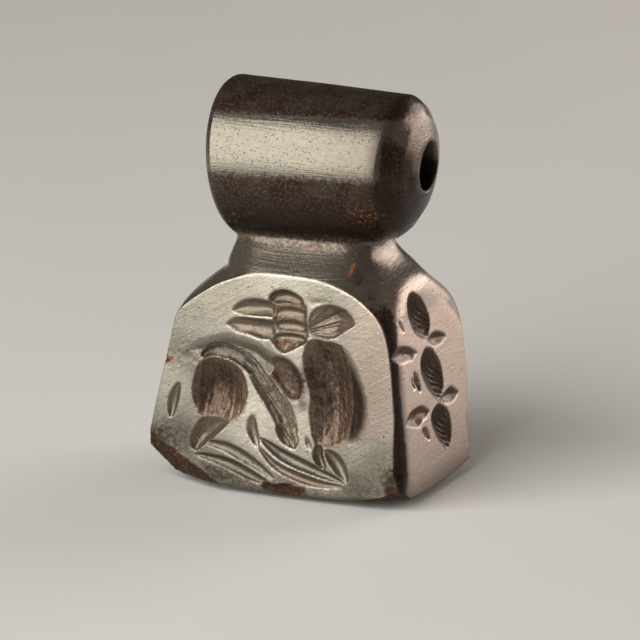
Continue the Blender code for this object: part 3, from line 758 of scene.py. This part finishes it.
def bowl_depth(cut, spot):
    """Depth of a bowl, and its places along and across the tool lines."""
    outline = cut["outline"]
    line = curve(np.vstack((outline[-1], outline, outline[:2])), np.arange(0.0, len(outline), 0.25))
    inward = -outline_distance(spot, np.vstack((line, line[:1]))) / cut["rim"]
    share_out = unit(length(spot - cut["deepest"]) / length(line - cut["deepest"]).max())
    full = np.minimum(inward, 1.0)
    crisp = np.where(inward > 0.0, 1.0 - (1.0 - full) ** 2, 2.0 * inward)
    gentle = np.where(inward > 0.0, full * full * (3.0 - 2.0 * full), inward)
    sunk = cut["depth"] * (1.0 - 0.55 * share_out) * (crisp + cut["soft"] * (gentle - crisp))
    if isinstance(cut["lines"], float):
        angle = math.radians(cut["lines"])
        return sunk, spot @ (math.cos(angle), math.sin(angle)), spot @ (-math.sin(angle), math.cos(angle))
    kind, middle = cut["lines"]
    offset = spot - np.array(middle) / FINE
    angle = np.arctan2(offset[:, 1], offset[:, 0]) % (2.0 * math.pi)
    if kind == "fan":
        return sunk, length(offset), 2.0 * ((angle + math.pi) % (2.0 * math.pi))
    return sunk, 2.0 * angle, length(offset)


def cut_depth(cut, spots):
    """Depth of one cut at spots on its face, then along, across, stain, matte, soft and painted shade."""
    outline = cut.get("outline", cut.get("path"))
    margin = 0.3 + cut.get("width", 0.1)
    near = ((spots > outline.min(axis=0) - margin) & (spots < outline.max(axis=0) + margin)).all(axis=1)
    result = np.zeros((7, len(spots)))
    result[0] = -1.0
    if not near.any():
        return result
    spot = spots[near]
    sunk, along, across = bowl_depth(cut, spot) if "outline" in cut else stroke_depth(cut, spot)
    flat = np.full(len(spot), 0.5)
    strands = noise(np.stack((across / HAIR_WIDTH, along / HAIR_LENGTH, flat), axis=1), 1.0, 31)
    waves = rough_noise(np.stack((across, 0.8 * along, flat), axis=1), RIPPLE_SIZE, 33)
    chips = rough_noise(np.stack((spot[:, 0], spot[:, 1], flat), axis=1), 0.22, 35)
    comb = 2.0 * np.abs((across / RIDGE_PITCH + 0.25 * strands) % 1.0 - 0.5) - 0.5
    sunk = sunk + unit(sunk / 0.10) * (cut["hair"] * strands + cut["ripple"] * waves + cut["ridge"] * comb)
    sunk = sunk + RIM_CHIPS * chips * unit(1.0 - np.abs(sunk) / 0.15)
    result[:3, near] = np.maximum(sunk, -1.0), along, across
    result[3:, near] = [[cut[name]] for name in ("stain", "matte", "soft", "grime")]
    return result


def carve(cuts, spots):
    """Deepest cut at each spot: the rows of cut_depth, with the depth negative outside."""
    best = np.zeros((7, len(spots)))
    best[0] = -1.0
    for cut in cuts:
        found = cut_depth(cut, spots)
        best = np.where(found[0] > best[0], found, best)
    return best


# A face: its cuts, the columns that hold its sideways and upward places, the
# sign of the sideways one, its outward normal and the mesh size of its cuts
FACES = (
    (ANIMAL_CUTS, 0, 1.0, (0.0, -1.0, FRONT_LEAN), CARVED_EDGE, 0.80),
    (LEAF_STEM_CUTS, 1, 1.0, (1.0, 0.0, RIGHT_LEAN), CARVED_EDGE, 0.60),
    (LEFT_LEAF_CUTS, 1, -1.0, (-1.0, 0.0, LEFT_LEAN), PLAIN_CARVED_EDGE, 0.60),
    (BACK_LEAF_CUTS, 0, -1.0, (0.0, 1.0, BACK_LEAN), PLAIN_CARVED_EDGE, 0.80),
)


def on_face(points, normals, face):
    """Which points lie on a face, and their places on it."""
    _, column, sign, outward, _, facing = face
    outward = np.array(outward) / np.linalg.norm(outward)
    chosen = (normals @ outward > facing) & (points[:, 2] < FACE_TOP) & (points @ outward > FACE_NEAREST)
    return chosen, np.stack((sign * points[chosen, column], points[chosen, 2]), axis=1), outward


def wanted_edge(points):
    """Edge length wanted at each place: fine where the faces are cut."""
    wanted = np.full(len(points), SMOOTH_EDGE)
    normals = gradient(seal_field, points)
    normals /= np.maximum(length(normals), 1e-9)[:, None]
    for face in FACES:
        chosen, spots, _ = on_face(points, normals, face)
        target = np.where(carve(face[0], spots)[0] > -CUT_SURROUND, face[4], SMOOTH_EDGE)
        wanted[chosen] = np.minimum(wanted[chosen], target)
    return wanted


def engraved(points, triangles):
    """Sink every face's cuts and note what the material needs to know."""
    normals = vertex_normals(points, triangles)
    marks = np.zeros((7, len(points)))
    sunk = points.copy()
    for face in FACES:
        chosen, spots, outward = on_face(points, normals, face)
        depth, along, across, stain, matte, soft, grime = carve(face[0], spots)
        sunk[chosen] -= np.maximum(depth, 0.0)[:, None] * outward
        sharp = unit((depth + 0.02) / (0.06 + 0.16 * soft))
        # The last mark is painted shade, faded in like the stain.
        marks[:, chosen] = (sharp * np.maximum(stain, 0.0), sharp * np.maximum(-stain, 0.0),
                            unit(depth / FULL_DEPTH), along, across, sharp * matte, sharp * grime)
    return sunk, dict(zip(("hollow", "greyed", "deep", "along", "across", "matte", "grime"), marks))


def fade(value, low, high):
    """0 below low, 1 above high, smooth between."""
    share = unit((value - low) / (high - low))
    return share * share * (3.0 - 2.0 * share)


def spot_share(points, spots):
    """Soft patches, each with its middle, size and strength."""
    return np.max([strength * np.exp(-length((points - middle) / size) ** 2)
                   for middle, size, strength in spots], axis=0)


def surface_marks(points):
    """What the plain stone is like, from 0 to 1: lapped flat, under a brown coat that also
    paints shade, duller with some painted shade, rosy, rusty, darkened by painted shade, or broken."""
    x, y, z = points.T
    front, right, left, back, _ = face_fields(points)
    surface = seal_field(points)
    along, above, radius = on_handle(points)
    along = along / HANDLE_LENGTH

    # lapped: the faces, part of the brushed saddle over the leaf face and of the barrel's end
    flat = 1.0 - fade(surface - np.max((front, right, left, back), axis=0), 0.01, 0.05)
    saddle = fade(x - 0.35 * np.abs(y + 0.2), 3.6, 4.6) * (1.0 - fade(z, 12.9, 13.5)) * fade(z, 9.5, 10.4)
    end = (1.0 - fade(radius, 2.9, 3.7)) * (along > 0.85)
    lapped = np.max((flat * (z <= 12.8), 0.60 * saddle, 0.05 * end), axis=0)

    # film and painted shade: brown film that also paints shade on the barrel's underside, top and bevel, the
    # chamfer, the foot and the neck
    bevel = fade(along, 0.885, 0.91) * fade(radius, 1.5, 2.1)
    corner = fade(surface - np.maximum(front, right), 0.01, 0.05)
    film_and_shade = np.max((fade(z, 13.7, 14.4) * (1.0 - fade(above, -0.6, 0.9)),
                   0.85 * fade(above, 2.7, 3.3),
                   bevel * fade(-0.7 * y - 0.7 * above, -0.3, 1.2) * (z > 13.0),
                   corner * (x > 4.5) * (y < -3.2) * (1.0 - fade(z, 10.5, 12.0)),
                   0.5 * (1.0 - fade(z + 0.10 * x, 0.4, 1.8)) * (y < -3.5),
                   0.75 * fade(z, 13.75, 14.05) * (z < 15.0),
                   0.42 * fade(z, 12.9, 13.6) * (z < 15.0),
                   spot_share(points, FILM_AND_SHADE_SPOTS)), axis=0)

    # painted shade: the barrel's underside and right rim, the leaf face's front edge and foot
    from_front = y + FRONT_REACH - FRONT_LEAN * z
    on_right = (x > 5.4) & (z < 11.8) & (from_front > 0.12)
    shade = np.max((0.80 * fade(z, 13.9, 14.6) * (1.0 - fade(above, -3.2, -0.2)),
                    0.55 * fade(along, 0.82, 0.90) * (1.0 - fade(along, 0.92, 0.95)) * (z > 14.0),
                    0.60 * (1.0 - fade(from_front, 0.45, 1.35)) * on_right,
                    0.55 * (1.0 - fade(z, 0.3, 1.9)) * on_right,
                    spot_share(points, SHADE_SPOTS)), axis=0)

    # dull and painted shade: the animal face between its spots, then the other faces, the neck and the
    # barrel
    place_x, place_z, share = np.array(FRONT_DULL_AND_SHADE_SHARES).T[..., None]
    weight = (0.3 + (x - place_x) ** 2 + (z - place_z) ** 2) ** -1.5
    dull_and_shade = (share * weight).sum(axis=0) / weight.sum(axis=0) + 0.10 * noise(points, 1.6, 41)
    # Painted shade: the leaf face darker towards its bottom and front edge, and dimmed over the bright
    # saddle.
    edges = 0.30 * (1.0 - fade(z, 0.5, 4.0)) + 0.30 * (1.0 - fade(y, -4.2, -2.8))
    dull_and_shade = np.where(y > -3.6, 0.55, dull_and_shade)
    dull_and_shade = np.where((x > 5.9) & (y > -4.1), 0.10 + 0.38 * saddle + edges, dull_and_shade)
    # Painted shade: the barrel dims towards its right end, fading its highlight there.
    barrel = 0.30 * fade(along, 0.55, 0.85) + 0.30 * fade(along, 0.80, 0.89) + 0.40 * fade(along, 0.90, 0.93)
    dull_and_shade = unit(np.where(z > 12.9, np.where(z < 14.6, 0.55, barrel), dull_and_shade))

    rosy = fade(x - 0.5 * y * (y < 0.0), 5.2, 6.6) * (y > -4.5)
    return {"lapped": lapped, "film_and_shade": film_and_shade, "dull_and_shade": dull_and_shade, "rosy": rosy, "shade": shade,
            "rust": spot_share(points, RUST_SPOTS), "broken": unit(1.0 + 12.0 * break_field(points))}


def build_stone():
    """The fine mesh of the seal in the drawing frame, with its marks."""
    points, triangles = surface_net(seal_field, GRID_LOW, GRID_HIGH, GRID_STEP)
    points = settle(seal_field, points, 2)
    for _ in range(2):
        points = settle(seal_field, relax(points, triangles, 0.5), 1)
    for _ in range(3):
        points, triangles = refine(points, triangles, wanted_edge)
        points = settle(seal_field, relax(points, triangles, 0.35), 1)
    points = settle(seal_field, points, 1)
    marks = surface_marks(points)
    points, cut_marks = engraved(points, triangles)
    return points, triangles, {**marks, **cut_marks}


def placed(name, data):
    """A new object in the scene."""
    item = bpy.data.objects.new(name, data)
    bpy.context.scene.collection.objects.link(item)
    return item


def to_object(name, points, triangles, marks):
    """Make the mesh object, lined up with the CAD node."""
    middle = 0.5 * (np.array(seal_low) + np.array(seal_high)) / MM
    shift = middle - (*DRAWING_MIDDLE, 0.0)
    shift[2] = seal_low.z / MM - points[:, 2].min()
    mesh = bpy.data.meshes.new(name)
    mesh.from_pydata(((points + shift) * MM).tolist(), [], triangles.tolist())
    for label, values in marks.items():
        attribute = mesh.attributes.new(label, "FLOAT", "POINT")
        attribute.data.foreach_set("value", values.astype(np.float32))
    mesh.shade_smooth()
    mesh.validate()
    return placed(name, mesh)


# --- materials
class Graph:
    """A material's node tree with short calls for adding and linking."""

    def __init__(self, name):
        self.material = bpy.data.materials.new(name)
        self.material.use_nodes = True
        self.tree = self.material.node_tree
        self.shader = self.tree.nodes["Principled BSDF"]

    def node(self, kind, inputs=None, **settings):
        made = self.tree.nodes.new("ShaderNode" + kind)
        for key, value in settings.items():
            setattr(made, key, value)
        for key, value in (inputs or {}).items():
            self.feed(made.inputs[key], value)
        return made

    def feed(self, socket, value):
        if isinstance(value, bpy.types.NodeSocket):
            self.tree.links.new(value, socket)
        else:
            socket.default_value = value

    def put(self, name, value):
        self.feed(self.shader.inputs[name], value)

    def math(self, operation, *values, clamp=False):
        return self.node("Math", dict(enumerate(values)), operation=operation, use_clamp=clamp).outputs[0]

    def mul(self, *values):
        return reduce(lambda first, second: self.math("MULTIPLY", first, second), values)

    def add(self, *values):
        return reduce(lambda first, second: self.math("ADD", first, second), values)

    def mix(self, share, first, second):
        inputs = {0: share, 6: first, 7: second}
        return self.node("Mix", inputs, data_type="RGBA", clamp_factor=True).outputs[2]

    def blend(self, share, first, second):
        inputs = {0: share, 2: first, 3: second}
        return self.node("Mix", inputs, data_type="FLOAT", clamp_factor=True).outputs[0]

    def lay(self, mixer, base, *layers):
        """Layers laid one over another, each by its share."""
        return reduce(lambda under, layer: mixer(layer[0], under, layer[1]), layers, base)

    def ramp(self, *values):
        """From low to high, to a rise from 0 to 1 or between two other values."""
        return self.node("MapRange", dict(enumerate(values)), clamp=True).outputs[0]

    def mark(self, name):
        return self.node("Attribute", attribute_name=name).outputs["Fac"]

    def noise(self, vector, scale, detail=2.0, roughness=0.5):
        inputs = {"Vector": vector, "Scale": scale, "Detail": detail, "Roughness": roughness}
        return self.node("TexNoise", inputs).outputs["Fac"]

    def stretched(self, vector, turn, scale):
        inputs = {"Vector": vector, "Rotation": turn, "Scale": scale}
        return self.node("Mapping", inputs, vector_type="TEXTURE").outputs[0]


# Colours of the stone and of what lies on it
LAPPED = (0.61, 0.565, 0.475, 1.0)
LAPPED_CLOUD = (0.54, 0.495, 0.41, 1.0)
# Dull lapped colour, also used as painted shade on the animal face.
LAPPED_DULL_AND_SHADED = (0.074, 0.063, 0.047, 1.0)
GREYED = (0.155, 0.132, 0.102, 1.0)
GREYED_DULL = (0.050, 0.041, 0.031, 1.0)
ROSY = (0.66, 0.535, 0.455, 1.0)
PATINA = (0.205, 0.190, 0.155, 1.0)
PATINA_DULL = (0.165, 0.146, 0.118, 1.0)
# Worn patina, also used as painted shade at the barrel's dimmed right end.
PATINA_WORN_AND_SHADED = (0.138, 0.104, 0.082, 1.0)
# Brown film, also used as painted shade.
FILM_AND_SHADE = (0.026, 0.011, 0.006, 1.0)
# Painted shade.
SHADE = (0.012, 0.007, 0.005, 1.0)
CUT = (0.168, 0.124, 0.088, 1.0)
CUT_DARK = (0.060, 0.035, 0.022, 1.0)
MATTE = (0.198, 0.124, 0.086, 1.0)
MATTE_DARK = (0.050, 0.027, 0.017, 1.0)
BREAK = (0.024, 0.014, 0.010, 1.0)
BREAK_BROWN = (0.062, 0.028, 0.015, 1.0)
RUST = (0.27, 0.085, 0.028, 1.0)
STONE_IOR = 1.25


def haematite():
    """Half-metallic stone: lapped faces, handled patina, a brown coat that also paints shade, painted shade,
    rusty breaks.
    """
    g = Graph("worn_haematite")
    place = g.node("TexCoord").outputs["Object"]
    mm = g.stretched(place, (0.0, 0.0, 0.0), (0.001, 0.001, 0.001))
    names = ("lapped", "hollow", "broken", "dull_and_shade", "rosy", "greyed", "film_and_shade", "rust", "matte")
    lapped, hollow, broken, dull_and_shade, rosy, greyed, filmed_and_shaded, rusty, dried = map(g.mark, names)
    clouds = g.noise(mm, 0.8, 4.0, 0.6)
    fine = g.noise(mm, 4.5, 4.0, 0.7)
    specks = g.noise(mm, 8.0, 2.0)
    dents = g.node("TexVoronoi", {"Vector": g.stretched(mm, (0.0, 0.6, 0.0), (0.5, 0.5, 0.3)),
                                  "Scale": 1.0, "Smoothness": 0.4}, feature="SMOOTH_F1").outputs["Distance"]
    slant = g.noise(g.stretched(mm, (0.0, -0.55, 0.0), (3.0, 3.0, 0.07)), 1.0, 3.0, 0.6)
    counter = g.noise(g.stretched(mm, (0.0, 0.85, 0.1), (2.0, 2.0, 0.08)), 1.0, 3.0, 0.6)
    scratch = g.noise(g.stretched(mm, (0.05, -0.38, 0.0), (4.0, 4.0, 0.045)), 1.0, 2.0, 0.5)
    level = g.noise(g.stretched(mm, (0.10, 0.0, 0.0), (2.2, 2.2, 0.09)), 1.0, 3.0, 0.65)
    hairs = g.node("CombineXYZ", {"X": g.math("DIVIDE", g.mark("across"), 0.085),
                                  "Y": g.math("DIVIDE", g.mark("along"), 0.9), "Z": 0.5}).outputs[0]
    hair = g.noise(hairs, 1.0, 3.0, 0.6)

    uneven = g.math("SUBTRACT", fine, 0.5)
    film_and_shade = g.mul(g.ramp(g.add(filmed_and_shaded, g.mul(uneven, 1.1)), 0.35, 0.75), g.ramp(filmed_and_shaded, 0.02, 0.25),
                 g.ramp(g.noise(mm, 7.0, 3.0, 0.7), 0.50, 0.68, 1.0, 0.55),
                 g.ramp(clouds, 0.25, 0.60, 0.80, 1.0))
    rust = g.mul(g.ramp(g.add(rusty, g.mul(uneven, 2.8)), 0.62, 1.02), g.ramp(rusty, 0.05, 0.4))
    pits = g.ramp(specks, 0.65, 0.72)
    cut = g.mul(hollow, g.ramp(fine, 0.30, 0.62, 0.80, 1.0))
    matte = g.mul(dried, g.ramp(hair, 0.56, 0.66, 1.0, 0.45))
    flecks = g.mul(broken, g.ramp(fine, 0.60, 0.68))
    # Painted shade: the stone's shade mark and the cuts' painted shade.
    shade = g.math("MAXIMUM", g.mark("shade"), g.mark("grime"))
    raw = g.math("MAXIMUM", broken, rust)

    face = g.lay(g.mix, g.mix(g.ramp(clouds, 0.35, 0.65), LAPPED, LAPPED_CLOUD), (rosy, ROSY),
                 (g.mul(dull_and_shade, g.ramp(fine, 0.2, 0.6, 0.7, 1.0)), LAPPED_DULL_AND_SHADED))
    patina = g.lay(g.mix, PATINA, (g.ramp(fine, 0.30, 0.70), PATINA_DULL), (dull_and_shade, PATINA_WORN_AND_SHADED))
    # Painted shade: deeper parts of a cut get darker, on top of its brown stain.
    darkness = g.add(g.mul(g.mark("deep"), 0.75), g.ramp(hair, 0.35, 0.65, 0.25, -0.15))
    darkness = g.math("ADD", darkness, g.ramp(clouds, 0.3, 0.7, -0.1, 0.2), clamp=True)
    inside = g.mix(matte, g.mix(darkness, CUT, CUT_DARK), g.mix(darkness, MATTE, MATTE_DARK))
    scratched = g.mul(lapped, g.ramp(rosy, 0.0, 1.0, 1.0, 0.3), g.ramp(scratch, 0.61, 0.67, 0.0, 0.45))
    g.put("Base Color", g.lay(
        g.mix, g.mix(lapped, patina, face),
        (g.ramp(slant, 0.50, 0.68, 0.0, 0.22), PATINA_DULL),
        (g.ramp(level, 0.50, 0.70, 0.0, 0.30), PATINA_DULL),
        (scratched, PATINA_DULL),
        (g.mul(greyed, g.ramp(fine, 0.2, 0.6, 0.75, 1.0)), g.mix(dried, GREYED, GREYED_DULL)),
        (film_and_shade, FILM_AND_SHADE),
        (cut, g.mix(g.mul(film_and_shade, 0.85), inside, FILM_AND_SHADE)),
        (shade, SHADE),
        (g.mul(pits, g.blend(lapped, 0.20, 0.65)), BREAK),
        (broken, g.mix(g.ramp(fine, 0.42, 0.56), BREAK, BREAK_BROWN)),
        (g.math("MAXIMUM", rust, flecks), RUST)))
    g.put("Metallic", g.lay(
        g.blend, g.blend(film_and_shade, 0.85, 0.12),
        (g.mul(dull_and_shade, g.math("SUBTRACT", 1.0, lapped)), 0.45),
        (cut, g.blend(film_and_shade, g.blend(matte, 0.65, 0.72), 0.12)),
        (shade, 0.25),
        (raw, 0.0)))
    g.put("IOR", STONE_IOR)
    plain = g.ramp(fine, 0.35, 0.65, 0.13, 0.20)
    rough = g.lay(
        g.blend, g.blend(lapped, plain, g.add(plain, 0.13)),
        (film_and_shade, 0.30),
        (greyed, 0.32),
        (cut, g.blend(matte, 0.22, g.ramp(specks, 0.50, 0.62, 0.30, 0.18))))
    g.put("Roughness", g.blend(raw, g.add(rough, g.ramp(level, 0.45, 0.70, 0.0, 0.10)), 0.62))
    height = g.add(g.mul(fine, 0.7),
                   g.mul(slant, g.blend(lapped, 0.25, 1.10)),
                   g.mul(counter, 0.60),
                   g.mul(level, g.blend(lapped, 1.50, 0.60)),
                   g.mul(hair, g.add(g.mul(hollow, 1.2), g.mul(dried, 2.2))),
                   g.mul(dents, g.mul(dried, 4.0)))
    height = g.math("SUBTRACT", height, g.mul(pits, 1.6))
    height = g.add(height, g.mul(broken, g.mul(fine, 5.0)))
    bump = {"Height": height, "Strength": 0.5, "Distance": 0.00002}
    g.put("Normal", g.node("Bump", bump).outputs[0])
    return g.material


def floor_material():
    """Plain pale matte table top."""
    g = Graph("pale_table")
    grain = g.noise(g.node("TexCoord").outputs["Object"], 60.0, 3.0)
    g.put("Base Color", g.mix(grain, (0.80, 0.79, 0.77, 1.0), (0.84, 0.83, 0.81, 1.0)))
    g.put("Roughness", 0.85)
    return g.material


# --- floor, light, view
FLOOR_SIZE = 2.0
WORLD_COLOUR = (0.070, 0.066, 0.064, 1.0)
VIEW_AZIMUTH = 23.3
VIEW_ELEVATION = 16.0
VIEW_LENS = 400.0
VIEW_WIDTH = 34.6               # mm across the frame at the seal
LIGHT_AIM = Vector((0.0, 0.0, 0.008))
AIM_RIGHT = 0.585               # mm from the middle of the seal's box
AIM_UP = -2.15


def compass(azimuth, elevation):
    """Unit vector from the seal: azimuth 0 is -Y, turning towards +X."""
    a, e = math.radians(azimuth), math.radians(elevation)
    return Vector((math.sin(a) * math.cos(e), -math.cos(a) * math.cos(e), math.sin(e)))


def add_floor():
    """A wide plain floor at the height the seal stands on."""
    half = 0.5 * FLOOR_SIZE
    corners = [(-half, -half, 0.0), (half, -half, 0.0), (half, half, 0.0), (-half, half, 0.0)]
    mesh = bpy.data.meshes.new("floor")
    mesh.from_pydata(corners, [], [(0, 1, 2, 3)])
    mesh.materials.append(floor_material())
    item = placed("floor", mesh)
    item.location.z = seal_low.z


def add_softbox(name, azimuth, elevation, distance, width, height, radiance, colour):
    """A rectangular soft light facing the seal, given by its brightness."""
    data = bpy.data.lights.new(name, "AREA")
    data.shape = "RECTANGLE"
    data.size = width
    data.size_y = height
    data.energy = radiance * math.pi * width * height
    data.color = colour
    item = placed(name, data)
    item.location = compass(azimuth, elevation) * distance + LIGHT_AIM
    item.rotation_euler = (item.location - LIGHT_AIM).to_track_quat("Z", "Y").to_euler()


def add_lights():
    """Key softbox front left, a second behind on the right, a dim surround."""
    add_softbox("key_softbox", -24.0, 29.5, 0.30, 0.32, 0.335, 3.8, (1.0, 0.985, 0.935))
    add_softbox("rim_softbox", 147.0, 12.0, 0.30, 0.24, 0.18, 4.4, (1.0, 0.88, 0.82))
    world = bpy.data.worlds.new("dim_studio")
    world.use_nodes = True
    world.node_tree.nodes["Background"].inputs["Color"].default_value = WORLD_COLOUR
    bpy.context.scene.world = world


def add_camera():
    """A long lens at the viewing angle, so that upright edges stay upright."""
    data = bpy.data.cameras.new("camera")
    data.lens = VIEW_LENS
    data.clip_end = 10.0
    toward = compass(VIEW_AZIMUTH, VIEW_ELEVATION)
    right = Vector((0.0, 0.0, 1.0)).cross(toward).normalized()
    up = toward.cross(right)
    aim = 0.5 * (seal_low + seal_high) + (right * AIM_RIGHT + up * AIM_UP) * MM
    item = placed("camera", data)
    item.location = aim + toward * (VIEW_WIDTH * MM * VIEW_LENS / data.sensor_width)
    item.rotation_euler = toward.to_track_quat("Z", "Y").to_euler()
    bpy.context.scene.camera = item


seal = to_object("haematite_seal", *build_stone())
seal.data.materials.append(haematite())
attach(seal, "root")
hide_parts("amulet_seal")
add_floor()
add_lights()
add_camera()
bpy.context.scene.view_settings.view_transform = "Standard"
